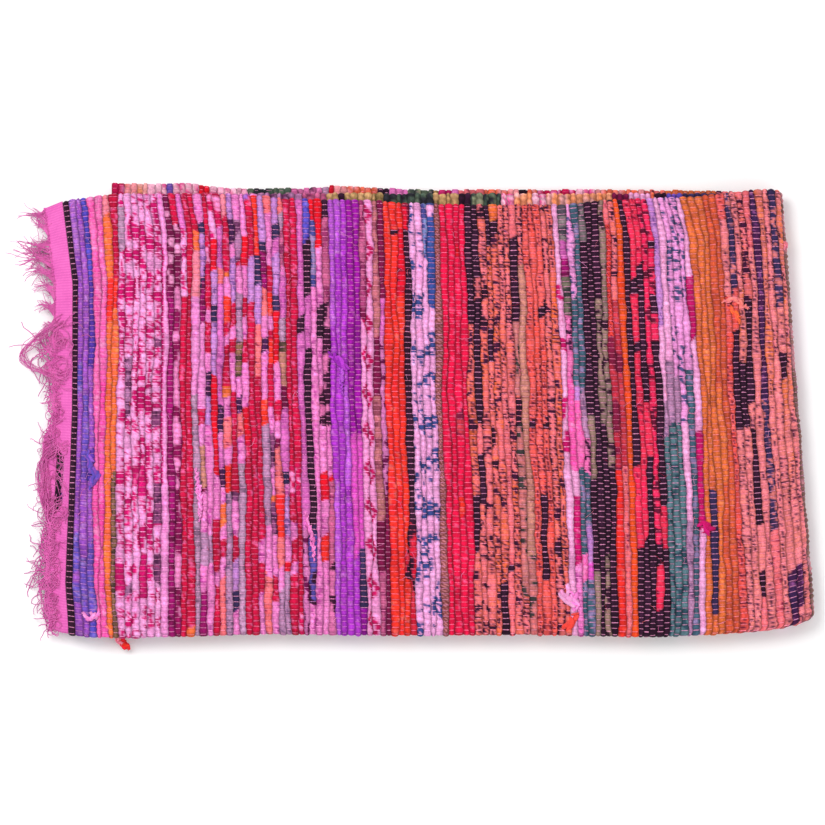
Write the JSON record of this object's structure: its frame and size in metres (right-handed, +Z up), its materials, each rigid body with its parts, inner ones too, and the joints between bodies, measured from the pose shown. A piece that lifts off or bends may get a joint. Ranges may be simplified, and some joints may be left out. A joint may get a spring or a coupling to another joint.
{
  "type": "rag rug, folded flat into four layers",
  "caption": "Rag-woven cotton rug folded once lengthwise and once across, with a woven heading and warp fringe at each end.",
  "frame": {"origin": "middle of the folded rug's outline, on the surface it lies on", "axes": "+X along the folded length, from the fringed end to the cross fold; +Y from the lengthwise fold to the open selvedges; +Z up"},
  "size_m": [0.8364, 0.476, 0.0299],
  "materials": {
    "rag_cotton": "many-coloured cotton rag strips, matt, ribbed",
    "heading_cotton": "pink cotton yarn, matt, fine plain weave and loose fringe"
  },
  "bodies": {
    "root": {"rug_body": "rag_cotton", "near_heading": "heading_cotton", "far_heading": "heading_cotton"}
  },
  "joints": []
}
